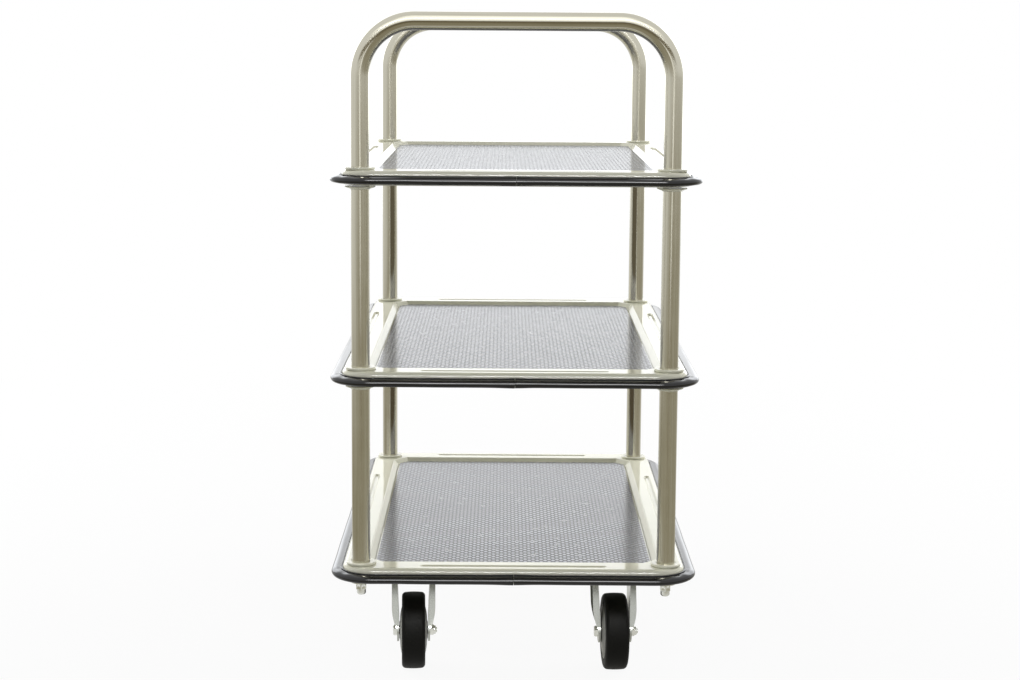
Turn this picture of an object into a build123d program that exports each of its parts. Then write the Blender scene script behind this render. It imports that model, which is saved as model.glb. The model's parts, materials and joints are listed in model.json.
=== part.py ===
from build123d import *
from math import sqrt
import os

# A three-tier cart, in millimetres. X runs across the cart and Y along it, with the
# swivel casters at the -Y end. Z is up from the floor, under the middle of the decks.

# Overall sizes
DECK_LENGTH = 740.0
DECK_WIDTH = 480.0
TIER_PITCH = 259.0
HANDLE_RISE = 200.8

# Pressed deck: border, rolled edge, skirt, recess and stiffening grooves
SHEET = 1.5
SKIRT_PROUD = 2.0
CORNER_RADIUS = 56.0
ROLL_RADIUS = 7.0
END_BORDER = 39.0
SIDE_BORDER = 33.0
RECESS_DEPTH = 7.0
RECESS_RUN = 8.0
BEND_RADIUS = 2.5
GROOVE_WIDTH = 9.0
GROOVE_DEPTH = 2.0
GROOVE_RUN = 2.5
END_GROOVE_LAND = 7.5
SIDE_GROOVE_LAND = 1.5
END_GROOVE_GAP = 78.0
SIDE_GROOVE_GAP = 135.0

# Mat lying in the recess
MAT_THICKNESS = 2.2
MAT_MARGIN = 2.0

# Edge bumper, keyed into a seat pressed round the skirt
BUMPER_WIDTH = 15.0
BUMPER_HEIGHT = 13.5
BUMPER_DROP = 3.0
BUMPER_GAP = 1.5
BUMPER_FLAT = 1.1
BUMPER_SEAM = 0.4
LIP_WIDTH = 2.0
LIP_GROOVE = 1.2
SEAT_DEPTH = 2.5
SEAT_HEIGHT = 6.0
SEAT_LAND = 1.0

# Posts, handles and their collars
TUBE_DIAMETER = 24.0
TUBE_WALL = 1.5
POST_INSET_SIDE = 40.0
POST_INSET_END = 45.0
HANDLE_BEND = 70.0
COLLAR_FLANGE = 7.75
COLLAR_LAND = 6.4
COLLAR_THICKNESS = 3.2
COLLAR_ROUND = 1.4

# Tie rods and what they screw into
ROD_DIAMETER = 8.0
INSERT_LENGTH = 30.0
INSERT_RISE = 6.0
ROD_PROUD = 2.0
END_WASHER_RIM = 2.0
END_WASHER_THICKNESS = 3.0
LOCK_WASHER_WIDTH = 2.9
LOCK_WASHER_THICKNESS = 2.0
LOCK_WASHER_SLIT = 1.5
CAP_NUT_HEIGHT = 15.0
CAP_NUT_HEX = 8.0
CAP_NUT_THREAD = 11.0

# Cross channels under the decks
CHANNEL_SHEET = 2.0
CHANNEL_FLANGE = 10.0
CHANNEL_END_GAP = 6.0
CHANNEL_MARGIN = 2.0
CHANNEL_ROOM = 3.5

# Casters
CASTER_INSET_END = 125.0
CASTER_INSET_SIDE = 105.0
CASTER_YAW = 2.7
CASTER_TRAIL = 35.0
CASTER_HEAD = 31.5
PLATE_LENGTH = 100.0
PLATE_WIDTH = 84.0
PLATE_THICKNESS = 3.0
PLATE_CORNER = 8.0
BOLT_EDGE = 11.0
BOLT_DIAMETER = 8.0
BOLT_PROUD = 1.5
HEX_ACROSS = 13.0
HEAD_HEIGHT = 5.3
NUT_HEIGHT = 6.5
LOCK_NUT_HEIGHT = 8.0
LOCK_NUT_HEX = 5.5
LOCK_NUT_COLLAR = 11.6

# Swivel head: ball race, kingpin and fork
RACE_RADIUS = 24.0
RACE_DEPTH = 0.7
BALL_DIAMETER = 4.8
BALL_COUNT = 18
CROWN_LAND = 5.3
KINGPIN_DIAMETER = 10.0
KINGPIN_HEAD = 28.0
KINGPIN_HEAD_HEIGHT = 3.5
FORK_SHEET = 2.5
FORK_TOP_HALF = 25.0
FORK_END_RADIUS = 15.0
FORK_SPREAD = 2.6
FORK_BEND_RISE = 16.0
LIP_REACH = 4.6
LIP_FULL_RISE = 34.0
LIP_START_RISE = 3.0

# Wheels
WHEEL_DIAMETER = 102.0
TYRE_WIDTH = 30.0
TYRE_SHOULDER = 4.0
TYRE_THICKNESS = 14.0
CORE_RIM_RISE = 0.6
CORE_RIM_WIDTH = 5.0
CORE_BOSS_WALL = 6.0
CORE_BOSS_LAND = 3.0
CORE_DISH_DEPTH = 1.6
HUB_LENGTH = 38.0
SLEEVE_WALL = 2.0

# Clearances
FIT = 0.05
HOLE_ROOM = 1.0
SIDE_PLAY = 0.5
BALL_PLAY = 0.3

# Worked-out sizes
ROD_HOLE = ROD_DIAMETER + HOLE_ROOM
BOLT_HOLE = BOLT_DIAMETER + HOLE_ROOM
BOLT_SPACING_X = PLATE_WIDTH - 2 * BOLT_EDGE
BOLT_SPACING_Y = PLATE_LENGTH - 2 * BOLT_EDGE
CHANNEL_DEPTH = CHANNEL_SHEET + NUT_HEIGHT + BOLT_PROUD + CHANNEL_ROOM
DECK_DEPTH = RECESS_DEPTH + SHEET + CHANNEL_DEPTH
SKIRT_DEPTH = BUMPER_DROP + BUMPER_HEIGHT + SKIRT_PROUD
BUMPER_ROUND = (BUMPER_HEIGHT - BUMPER_FLAT) / 2
SEAT_DROP = ROLL_RADIUS + SEAT_LAND
COLLAR_DIAMETER = TUBE_DIAMETER + 2 * COLLAR_FLANGE
END_WASHER_DIAMETER = TUBE_DIAMETER + 2 * END_WASHER_RIM
LOCK_WASHER_DIAMETER = ROD_HOLE + 2 * LOCK_WASHER_WIDTH
RACE_GAP = BALL_DIAMETER - 2 * RACE_DEPTH
CROWN_RADIUS = RACE_RADIUS + BALL_DIAMETER / 2 + BALL_PLAY + CROWN_LAND
CORE_DIAMETER = WHEEL_DIAMETER - 2 * TYRE_THICKNESS
SLEEVE_DIAMETER = BOLT_DIAMETER + 2 * (FIT + SLEEVE_WALL)
CORE_BOSS_DIAMETER = SLEEVE_DIAMETER + 2 * (FIT + CORE_BOSS_WALL)
CORE_DISH_INNER = CORE_BOSS_DIAMETER / 2 + CORE_BOSS_LAND
CORE_DISH_OUTER = CORE_DIAMETER / 2 - CORE_RIM_WIDTH

# Worked-out places
CASTER_HEIGHT = WHEEL_DIAMETER + CASTER_HEAD
BORDER_LENGTH = DECK_LENGTH - 2 * BUMPER_WIDTH
BORDER_WIDTH = DECK_WIDTH - 2 * BUMPER_WIDTH
BORDER_CORNER = CORNER_RADIUS - BUMPER_WIDTH
RECESS_X = BORDER_WIDTH / 2 - SIDE_BORDER
RECESS_Y = BORDER_LENGTH / 2 - END_BORDER
POST_X = DECK_WIDTH / 2 - POST_INSET_SIDE
POST_Y = DECK_LENGTH / 2 - POST_INSET_END
POST_TO_RECESS = sqrt(2) * (COLLAR_DIAMETER / 2 + COLLAR_LAND)
RECESS_CUT = RECESS_X + RECESS_Y - POST_X - POST_Y + POST_TO_RECESS
GROOVE_EDGE = ROLL_RADIUS + GROOVE_WIDTH / 2
END_GROOVE_Y = BORDER_LENGTH / 2 - GROOVE_EDGE - END_GROOVE_LAND
SIDE_GROOVE_X = BORDER_WIDTH / 2 - GROOVE_EDGE - SIDE_GROOVE_LAND
CASTER_X = DECK_WIDTH / 2 - CASTER_INSET_SIDE
CASTER_Y = DECK_LENGTH / 2 - CASTER_INSET_END
BOTTOM_LEVEL = CASTER_HEIGHT + DECK_DEPTH
MIDDLE_LEVEL = BOTTOM_LEVEL + TIER_PITCH
TOP_LEVEL = MIDDLE_LEVEL + TIER_PITCH
TUBE_RADIUS = TUBE_DIAMETER / 2
TUBE_BORE = TUBE_RADIUS - TUBE_WALL
AXLE_HEIGHT = WHEEL_DIAMETER / 2
SLEEVE_LENGTH = HUB_LENGTH + 2 * SIDE_PLAY
LEG_OUTER = SLEEVE_LENGTH / 2 + FORK_SHEET
CROWN_TOP = CASTER_HEIGHT - PLATE_THICKNESS - RACE_GAP
PLATE_UNDER = CASTER_HEIGHT - PLATE_THICKNESS

LEVELS = {"top": TOP_LEVEL, "middle": MIDDLE_LEVEL, "bottom": BOTTOM_LEVEL}
ENDS = {"front": -1, "rear": 1}
SIDES = {"left": -1, "right": 1}
POSTS = [(sx * POST_X, sy * POST_Y) for sx in SIDES.values() for sy in ENDS.values()]
CASTERS = [(sx * CASTER_X, sy * CASTER_Y) for sx in SIDES.values() for sy in ENDS.values()]


def ring(outer_radius, inner_radius, bottom, top):
    """A washer-shaped solid about the Z axis."""
    return Pos(0, 0, bottom) * extrude(Circle(outer_radius) - Circle(inner_radius), top - bottom)


def rod(radius, bottom, top):
    """A round bar along the Z axis."""
    return Pos(0, 0, bottom) * extrude(Circle(radius), top - bottom)


def hexagon(bottom, top):
    """A hexagonal prism along the Z axis."""
    corner_radius = HEX_ACROSS / sqrt(3)
    return Pos(0, 0, bottom) * extrude(RegularPolygon(corner_radius, 6), top - bottom)


def copies(shape, places):
    """One compound with a copy of the shape at each place on the plan."""
    return Compound([Pos(x, y, 0) * shape for x, y in places])


def along_x(shape, x, y, z):
    """Turns a shape made along +Z to run along +X, through the given point."""
    return Pos(x, y, z) * Rot(0, 90, 0) * shape


# Decks, mats and bumpers are made with the border's top face at Z = 0


def border_block(inset, top, bottom, edge_radius=0.0):
    """A block with the border's outline, drawn in by inset, with its top edge rounded."""
    outline = RectangleRounded(
        BORDER_WIDTH - 2 * inset, BORDER_LENGTH - 2 * inset, BORDER_CORNER - inset
    )
    block = Pos(0, 0, bottom) * extrude(outline, top - bottom)
    if edge_radius > 0:
        block = fillet(block.faces().sort_by(Axis.Z)[-1].edges(), edge_radius)
    return block


def border_band(outer_inset, inner_inset, top, bottom):
    """A closed band that follows the border's outline."""
    return border_block(outer_inset, top, bottom) - border_block(inner_inset, top, bottom)


def recess_outline(inset):
    """The recess's outline with its corners cut off, drawn in by inset."""
    box = Rectangle(2 * (RECESS_X - inset), 2 * (RECESS_Y - inset))
    return chamfer(box.vertices(), RECESS_CUT - inset * (2 - sqrt(2)))


def groove_outline(length):
    """Gives the outline of a round-ended groove along X as a function of its inset."""
    return lambda inset: SlotOverall(length - 2 * inset, GROOVE_WIDTH - 2 * inset)


def pressing(outline, depth, run, under):
    """The block that a press tool with sloping sides pushes down from Z = 0.

    With under set, it is the same pressing on the sheet's lower face.
    """
    slope = run / depth
    grow = SHEET * sqrt(1 + slope * slope) if under else 0.0
    reach = depth + SHEET if under else depth
    upper = outline(-grow)
    lower = Pos(0, 0, -reach) * outline(slope * reach - grow)
    return loft([upper.face(), lower.face()], ruled=True)


def deck_pressings(under):
    """The recess and the four stiffening grooves of a deck."""
    blocks = [pressing(recess_outline, RECESS_DEPTH, RECESS_RUN, under)]
    end_groove = groove_outline(2 * (POST_X - END_GROOVE_GAP))
    side_groove = groove_outline(2 * (POST_Y - SIDE_GROOVE_GAP))
    end_block = pressing(end_groove, GROOVE_DEPTH, GROOVE_RUN, under)
    side_block = Rot(0, 0, 90) * pressing(side_groove, GROOVE_DEPTH, GROOVE_RUN, under)
    for side in (-1, 1):
        blocks.append(Pos(0, side * END_GROOVE_Y, 0) * end_block)
        blocks.append(Pos(side * SIDE_GROOVE_X, 0, 0) * side_block)
    return blocks


def on_recess(edge, depth):
    """Whether an edge lies on the recess's outline at the given depth."""
    middle = edge.center()
    inside = abs(middle.X) < RECESS_X + FIT and abs(middle.Y) < RECESS_Y + FIT
    return inside and abs(middle.Z + depth) < FIT


def make_deck():
    seat_foot = SEAT_DROP + SEAT_HEIGHT
    below = SKIRT_DEPTH + SHEET
    deck = border_block(0, 0, -SKIRT_DEPTH, ROLL_RADIUS)
    deck -= border_band(-SHEET, SEAT_DEPTH, -SEAT_DROP, -seat_foot)
    hollow = border_block(SHEET, -SHEET, -below, ROLL_RADIUS - SHEET)
    hollow -= border_band(0, SEAT_DEPTH + SHEET, -SEAT_DROP + SHEET, -seat_foot - SHEET)
    for block in deck_pressings(under=True):
        hollow -= block
    deck -= hollow
    for block in deck_pressings(under=False):
        deck -= block
    rim = deck.edges().filter_by(lambda edge: on_recess(edge, 0.0))
    deck = fillet(rim, BEND_RADIUS)
    for x, y in POSTS:
        deck -= Pos(x, y, 0) * rod(ROD_HOLE / 2, -below, SHEET)
    return deck


def make_mat():
    outline = recess_outline(RECESS_RUN + MAT_MARGIN)
    return Pos(0, 0, -RECESS_DEPTH) * extrude(outline, MAT_THICKNESS)


def make_bumper():
    top = -BUMPER_DROP
    bottom = top - BUMPER_HEIGHT
    body = border_block(-BUMPER_WIDTH, top, bottom)
    rims = body.faces().sort_by(Axis.Z)[-1].edges() + body.faces().sort_by(Axis.Z)[0].edges()
    body = fillet(rims, BUMPER_ROUND)
    body -= border_block(-BUMPER_GAP, top, bottom)
    lip = BUMPER_GAP + LIP_WIDTH
    body -= border_band(-lip - LIP_GROOVE, -lip, top, top - LIP_GROOVE)
    tongue_top = -SEAT_DROP - FIT
    tongue_bottom = -SEAT_DROP - SEAT_HEIGHT + FIT
    body += border_band(-BUMPER_GAP - FIT, SEAT_DEPTH - FIT, tongue_top, tongue_bottom)
    seam = Box(BUMPER_SEAM, 2 * (BUMPER_WIDTH + SEAT_DEPTH), 3 * BUMPER_HEIGHT)
    return body - Pos(0, -BORDER_LENGTH / 2, 0) * seam


def make_channel():
    """A hat section along X between the recess's underside and the deck's full depth."""
    half = PLATE_LENGTH / 2 + CHANNEL_MARGIN
    inner = half - CHANNEL_SHEET
    outer = half + CHANNEL_FLANGE
    top = -RECESS_DEPTH - SHEET
    foot = -DECK_DEPTH
    section = [
        (-outer, top),
        (-outer, top - CHANNEL_SHEET),
        (-half, top - CHANNEL_SHEET),
        (-half, foot),
        (half, foot),
        (half, top - CHANNEL_SHEET),
        (outer, top - CHANNEL_SHEET),
        (outer, top),
        (inner, top),
        (inner, foot + CHANNEL_SHEET),
        (-inner, foot + CHANNEL_SHEET),
        (-inner, top),
    ]
    reach = RECESS_X - RECESS_RUN - CHANNEL_END_GAP
    profile = Plane.YZ * make_face(Polyline(*section, close=True))
    channel = extrude(profile, reach, both=True)
    for side in (-1, 1):
        for x, y in bolt_places():
            hole = rod(BOLT_HOLE / 2, foot - CHANNEL_SHEET, foot + 2 * CHANNEL_SHEET)
            channel -= Pos(side * CASTER_X + x, y, 0) * hole
    return channel


# Tubes, collars and tie-rod hardware


def make_collar(above):
    """A flange collar round a tube's end, above a deck or below it."""
    bore = TUBE_RADIUS + FIT
    collar = ring(COLLAR_DIAMETER / 2, bore, 0, COLLAR_THICKNESS)
    rim = collar.edges().group_by(Axis.Z)[-1].sort_by(SortBy.RADIUS)[-1]
    collar = fillet(rim, COLLAR_ROUND)
    return collar if above else Rot(180, 0, 0) * collar


def make_handle(y):
    """An inverted U of tube, from the top deck up and over."""
    crest = TOP_LEVEL + HANDLE_RISE - TUBE_RADIUS
    path = FilletPolyline(
        (-POST_X, y, TOP_LEVEL),
        (-POST_X, y, crest),
        (POST_X, y, crest),
        (POST_X, y, TOP_LEVEL),
        radius=HANDLE_BEND,
    )
    foot = Plane(origin=(-POST_X, y, TOP_LEVEL), z_dir=(0, 0, 1))
    return sweep(foot * Circle(TUBE_RADIUS), path) - sweep(foot * Circle(TUBE_BORE), path)


def make_cap_nut(top):
    """A dome nut hanging below the given height."""
    foot = top - CAP_NUT_HEIGHT
    hex_foot = top - CAP_NUT_HEX
    dome_radius = HEX_ACROSS / 2 - 2 * FIT
    dome = rod(dome_radius, foot, top)
    dome = fillet(dome.faces().sort_by(Axis.Z)[0].edges(), dome_radius - 2 * FIT)
    nut = dome + hexagon(hex_foot, top)
    return nut - rod(ROD_DIAMETER / 2 + FIT, top - CAP_NUT_THREAD, top + FIT)


def make_lock_washer(bottom):
    """A split spring washer."""
    washer = ring(LOCK_WASHER_DIAMETER / 2, ROD_HOLE / 2, bottom, bottom + LOCK_WASHER_THICKNESS)
    slit = Box(LOCK_WASHER_DIAMETER, LOCK_WASHER_SLIT, 3 * LOCK_WASHER_THICKNESS)
    return washer - Pos(LOCK_WASHER_DIAMETER / 2, 0, bottom) * slit


def make_hex_bolt(length, thread_top):
    """A bolt along +Z with its head below; the shank ends at thread_top."""
    shank_foot = thread_top - length
    return rod(BOLT_DIAMETER / 2, shank_foot, thread_top) + hexagon(shank_foot - HEAD_HEIGHT, shank_foot)


def make_hex_nut(bottom):
    return hexagon(bottom, bottom + NUT_HEIGHT) - rod(BOLT_DIAMETER / 2 + FIT, bottom, bottom + NUT_HEIGHT)


def make_lock_nut(bottom):
    """A nut with a round locking collar on top."""
    top = bottom + LOCK_NUT_HEIGHT
    collar = rod(LOCK_NUT_COLLAR / 2, bottom, top)
    collar = fillet(collar.faces().sort_by(Axis.Z)[-1].edges(), COLLAR_ROUND)
    nut = collar + hexagon(bottom, bottom + LOCK_NUT_HEX)
    return nut - rod(BOLT_DIAMETER / 2 + FIT, bottom, top)


# Casters are made about their plate's centre, with the floor at Z = 0


def bolt_places():
    """The four bolt places on a caster's plate."""
    return [(sx * BOLT_SPACING_X / 2, sy * BOLT_SPACING_Y / 2) for sx in (-1, 1) for sy in (-1, 1)]


def make_plate():
    plate = Pos(0, 0, PLATE_UNDER) * extrude(
        RectangleRounded(PLATE_WIDTH, PLATE_LENGTH, PLATE_CORNER), PLATE_THICKNESS
    )
    for x, y in bolt_places():
        plate -= Pos(x, y, 0) * rod(BOLT_HOLE / 2, PLATE_UNDER, CASTER_HEIGHT)
    return plate


def race_groove():
    """The ring-shaped track that the bearing balls run in."""
    return Pos(0, 0, PLATE_UNDER - RACE_GAP / 2) * Torus(RACE_RADIUS, BALL_DIAMETER / 2 + BALL_PLAY)


def make_swivel_plate():
    return make_plate() - race_groove() - rod(KINGPIN_DIAMETER / 2 + FIT, PLATE_UNDER, CASTER_HEIGHT)


def make_kingpin():
    """A rivet through the plate and crown, with a head that holds the crown up."""
    head_top = CROWN_TOP - PLATE_THICKNESS - BALL_PLAY
    head = rod(KINGPIN_HEAD / 2, head_top - KINGPIN_HEAD_HEIGHT, head_top)
    head = fillet(head.faces().sort_by(Axis.Z)[0].edges(), COLLAR_ROUND)
    return head + rod(KINGPIN_DIAMETER / 2, head_top, CASTER_HEIGHT)


def make_balls():
    ball = Sphere(BALL_DIAMETER / 2)
    height = PLATE_UNDER - RACE_GAP / 2
    step = 360.0 / BALL_COUNT
    places = [Rot(0, 0, step * i) * Pos(RACE_RADIUS, 0, height) for i in range(BALL_COUNT)]
    return Compound([place * ball for place in places])


def leg_side_face(trail, top):
    """A leg seen from the side: it tapers from its top to a round end about the axle."""
    axle = (-trail, AXLE_HEIGHT)
    blank = Polygon(
        (-FORK_TOP_HALF, top),
        (-trail - FORK_END_RADIUS, AXLE_HEIGHT),
        (-trail + FORK_END_RADIUS, AXLE_HEIGHT),
        (FORK_TOP_HALF, top),
        align=None,
    )
    return blank + Pos(*axle) * Circle(FORK_END_RADIUS)


def make_legs(trail, top):
    """Both legs of a fork, spread at the top, with lips turned out along their edges."""
    side_face = leg_side_face(trail, top)
    side_rim = side_face - offset(side_face, -FORK_SHEET)
    width = 2 * (LEG_OUTER + FORK_SPREAD + LIP_REACH)
    blade = extrude(Plane.YZ * side_face, width, both=True)
    edges = extrude(Plane.YZ * side_rim, width, both=True)
    inner = LEG_OUTER - FORK_SHEET
    low = AXLE_HEIGHT - 2 * FORK_END_RADIUS
    bend = AXLE_HEIGHT + FORK_BEND_RISE
    lip_start = AXLE_HEIGHT + LIP_START_RISE
    lip_full = AXLE_HEIGHT + LIP_FULL_RISE
    web = [
        (inner, low),
        (inner, bend),
        (inner + FORK_SPREAD, top),
        (LEG_OUTER + FORK_SPREAD, top),
        (LEG_OUTER, bend),
        (LEG_OUTER, low),
    ]
    brow = LEG_OUTER + FORK_SPREAD + LIP_REACH
    lip_outline = Polyline((brow, lip_full), (brow, top), (inner + FORK_SPREAD, top), (inner, bend))
    lip_outline += Polyline((inner, bend), (inner, lip_start), (LEG_OUTER, lip_start))
    lip_outline += TangentArc((brow, lip_full), (LEG_OUTER, lip_start), tangent=(0, -1))
    length = 2 * (trail + FORK_TOP_HALF + FORK_END_RADIUS)
    web_bar = extrude(Plane.XZ * make_face(Polyline(*web, close=True)), length, both=True)
    lip_bar = extrude(Plane.XZ * make_face(lip_outline), length, both=True)
    leg = (web_bar & blade) + (lip_bar & edges)
    leg -= along_x(rod(BOLT_DIAMETER / 2 + FIT, 0, width), 0, -trail, AXLE_HEIGHT)
    return leg + mirror(leg, Plane.YZ)


def make_fork():
    """The swivel fork: a round crown with a ball track, and two trailing legs."""
    crown = rod(CROWN_RADIUS, CROWN_TOP - PLATE_THICKNESS, CROWN_TOP)
    fork = crown + make_legs(CASTER_TRAIL, CROWN_TOP - PLATE_THICKNESS / 2)
    fork -= race_groove()
    return fork - rod(KINGPIN_DIAMETER / 2 + FIT, CROWN_TOP - 2 * PLATE_THICKNESS, CROWN_TOP + FIT)


def make_bracket():
    """The rigid caster's plate with its two legs straight down."""
    return make_plate() + make_legs(0.0, CASTER_HEIGHT - PLATE_THICKNESS / 2)


def make_sleeve(trail):
    sleeve = ring(SLEEVE_DIAMETER / 2, BOLT_DIAMETER / 2 + FIT, -SLEEVE_LENGTH / 2, SLEEVE_LENGTH / 2)
    return along_x(sleeve, 0, -trail, AXLE_HEIGHT)


def make_axle_bolt(trail):
    thread_top = LEG_OUTER + LOCK_NUT_HEIGHT + BOLT_PROUD
    bolt = make_hex_bolt(thread_top + LEG_OUTER, thread_top)
    return along_x(bolt, 0, -trail, AXLE_HEIGHT)


def make_axle_nut(trail):
    return along_x(make_lock_nut(LEG_OUTER), 0, -trail, AXLE_HEIGHT)


def spun(outline, trail):
    """Turns an outline of (radius, place along the axle) points about the axle."""
    body = revolve(Plane.XZ * make_face(outline), Axis.Z)
    return along_x(body, 0, -trail, AXLE_HEIGHT)


def make_core(trail):
    """The wheel's core: a closed hub whose faces slope out to the boss."""
    bore = SLEEVE_DIAMETER / 2 + FIT
    rim = CORE_DIAMETER / 2
    boss = CORE_BOSS_DIAMETER / 2
    edge = TYRE_WIDTH / 2 + CORE_RIM_RISE
    end = HUB_LENGTH / 2

    def face_at(radius):
        return end - (end - edge) * (radius - boss) / (rim - boss)

    half = [
        (rim, edge),
        (CORE_DISH_OUTER, face_at(CORE_DISH_OUTER)),
        (CORE_DISH_OUTER - CORE_DISH_DEPTH, face_at(CORE_DISH_OUTER) - CORE_DISH_DEPTH),
        (CORE_DISH_INNER + CORE_DISH_DEPTH, face_at(CORE_DISH_INNER) - CORE_DISH_DEPTH),
        (CORE_DISH_INNER, face_at(CORE_DISH_INNER)),
        (boss, end),
        (bore, end),
    ]
    outline = half + [(radius, -place) for radius, place in reversed(half)]
    return spun(Polyline(*outline, close=True), trail)


def make_tyre(trail):
    inner = CORE_DIAMETER / 2
    outer = WHEEL_DIAMETER / 2
    half = TYRE_WIDTH / 2
    section = Pos((inner + outer) / 2, 0) * Rectangle(outer - inner, 2 * half)
    section = fillet(section.vertices().group_by(Axis.X)[-1], TYRE_SHOULDER)
    body = revolve(Plane.XZ * section, Axis.Z)
    return along_x(body, 0, -trail, AXLE_HEIGHT)


def build():
    """Every node by name."""
    nodes = {}
    deck, mat, bumper, channel = make_deck(), make_mat(), make_bumper(), make_channel()
    channels = Compound([Pos(0, sy * CASTER_Y, 0) * channel for sy in ENDS.values()])
    for tier, level in LEVELS.items():
        nodes[tier + "_deck"] = Pos(0, 0, level) * deck
        nodes[tier + "_mat"] = Pos(0, 0, level) * mat
        nodes[tier + "_bumper"] = Pos(0, 0, level) * bumper
        nodes[tier + "_channels"] = Pos(0, 0, level) * channels

    for end, sy in ENDS.items():
        nodes[end + "_handle"] = make_handle(sy * POST_Y)
    spans = {"upper": (MIDDLE_LEVEL, TOP_LEVEL), "lower": (BOTTOM_LEVEL, MIDDLE_LEVEL)}
    for row, (foot, head) in spans.items():
        post = ring(TUBE_RADIUS, TUBE_BORE, foot, head - DECK_DEPTH)
        for end, sy in ENDS.items():
            for side, sx in SIDES.items():
                nodes[f"{row}_post_{end}_{side}"] = Pos(sx * POST_X, sy * POST_Y, 0) * post

    above, below = make_collar(above=True), make_collar(above=False)
    spacer = ring(TUBE_RADIUS, TUBE_BORE, -DECK_DEPTH, -SHEET)
    spacers = []
    for tier, level in LEVELS.items():
        collars = [Pos(x, y, level) * above for x, y in POSTS]
        if tier != "bottom":
            collars += [Pos(x, y, level - DECK_DEPTH) * below for x, y in POSTS]
        nodes[tier + "_collars"] = Compound(collars)
        spacers += [Pos(x, y, level) * spacer for x, y in POSTS]
    nodes["deck_spacers"] = Compound(spacers)

    washer_foot = CASTER_HEIGHT - END_WASHER_THICKNESS
    lock_foot = washer_foot - LOCK_WASHER_THICKNESS
    insert_foot = TOP_LEVEL + INSERT_RISE
    insert_top = insert_foot + INSERT_LENGTH
    insert = ring(TUBE_BORE - FIT, ROD_DIAMETER / 2 + FIT, insert_foot, insert_top)
    washer = ring(END_WASHER_DIAMETER / 2, ROD_HOLE / 2, washer_foot, CASTER_HEIGHT)
    rod_foot = lock_foot - CAP_NUT_THREAD + FIT
    nodes["handle_inserts"] = copies(insert, POSTS)
    nodes["tie_rods"] = copies(rod(ROD_DIAMETER / 2, rod_foot, insert_top + ROD_PROUD), POSTS)
    nodes["end_washers"] = copies(washer, POSTS)
    nodes["lock_washers"] = copies(make_lock_washer(lock_foot), POSTS)
    nodes["cap_nuts"] = copies(make_cap_nut(lock_foot), POSTS)

    bolt_places_all = [(cx + x, cy + y) for cx, cy in CASTERS for x, y in bolt_places()]
    web_top = CASTER_HEIGHT + CHANNEL_SHEET
    bolt_top = web_top + NUT_HEIGHT + BOLT_PROUD
    nodes["caster_bolts"] = copies(make_hex_bolt(bolt_top - PLATE_UNDER, bolt_top), bolt_places_all)
    nodes["caster_nuts"] = copies(make_hex_nut(web_top), bolt_places_all)

    fork_pieces = {
        "fork": make_fork(),
        "axle_sleeve": make_sleeve(CASTER_TRAIL),
        "axle_bolt": make_axle_bolt(CASTER_TRAIL),
        "axle_nut": make_axle_nut(CASTER_TRAIL),
        "wheel_core": make_core(CASTER_TRAIL),
        "tyre": make_tyre(CASTER_TRAIL),
    }
    head_pieces = {
        "caster_plate": make_swivel_plate(),
        "kingpin": make_kingpin(),
        "bearing_balls": make_balls(),
    }
    rear_pieces = {
        "caster_bracket": make_bracket(),
        "wheel_core": make_core(0.0),
        "tyre": make_tyre(0.0),
    }
    for side, sx in SIDES.items():
        front = Pos(sx * CASTER_X, -CASTER_Y, 0)
        rear = Pos(sx * CASTER_X, CASTER_Y, 0)
        for name, shape in head_pieces.items():
            nodes[f"front_{side}_{name}"] = front * shape
        for name, shape in fork_pieces.items():
            nodes[f"front_{side}_{name}"] = front * Rot(0, 0, CASTER_YAW) * shape
        for name, shape in rear_pieces.items():
            nodes[f"rear_{side}_{name}"] = rear * shape
    rear_places = [(sx * CASTER_X, CASTER_Y) for sx in SIDES.values()]
    nodes["rear_axle_sleeves"] = copies(make_sleeve(0.0), rear_places)
    nodes["rear_axle_bolts"] = copies(make_axle_bolt(0.0), rear_places)
    nodes["rear_axle_nuts"] = copies(make_axle_nut(0.0), rear_places)
    return nodes


os.makedirs("parts", exist_ok=True)
for node_name, node_shape in build().items():
    export_step(node_shape, f"parts/{node_name}.step")
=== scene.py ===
"""Looks of the three-tier cart: finishes, detailed soft pieces, studio and camera.

Metres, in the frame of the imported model: X to the right, Y away from the camera, Z up.
"""

import json
import math

import bmesh
import bpy
from mathutils import Matrix, Vector


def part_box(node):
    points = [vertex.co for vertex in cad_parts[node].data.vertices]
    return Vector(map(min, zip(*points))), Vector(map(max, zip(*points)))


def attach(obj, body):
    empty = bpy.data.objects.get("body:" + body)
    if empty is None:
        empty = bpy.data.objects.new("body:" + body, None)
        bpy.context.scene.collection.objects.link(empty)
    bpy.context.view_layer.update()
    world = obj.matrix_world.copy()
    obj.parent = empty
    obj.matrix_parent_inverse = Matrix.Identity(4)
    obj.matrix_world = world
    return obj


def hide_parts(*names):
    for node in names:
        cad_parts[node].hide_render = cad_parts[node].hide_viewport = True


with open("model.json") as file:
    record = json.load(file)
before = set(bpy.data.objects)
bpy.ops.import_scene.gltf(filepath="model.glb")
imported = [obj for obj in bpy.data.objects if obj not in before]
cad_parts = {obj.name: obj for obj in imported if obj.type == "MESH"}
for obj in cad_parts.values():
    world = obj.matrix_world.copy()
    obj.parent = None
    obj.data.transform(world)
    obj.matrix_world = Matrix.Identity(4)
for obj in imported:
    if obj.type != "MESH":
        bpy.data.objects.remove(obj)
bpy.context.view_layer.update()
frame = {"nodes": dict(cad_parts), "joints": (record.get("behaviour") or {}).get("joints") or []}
NODES = frame["nodes"]
SCENE = bpy.context.scene
SCENE.view_settings.view_transform = "Standard"

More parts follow.
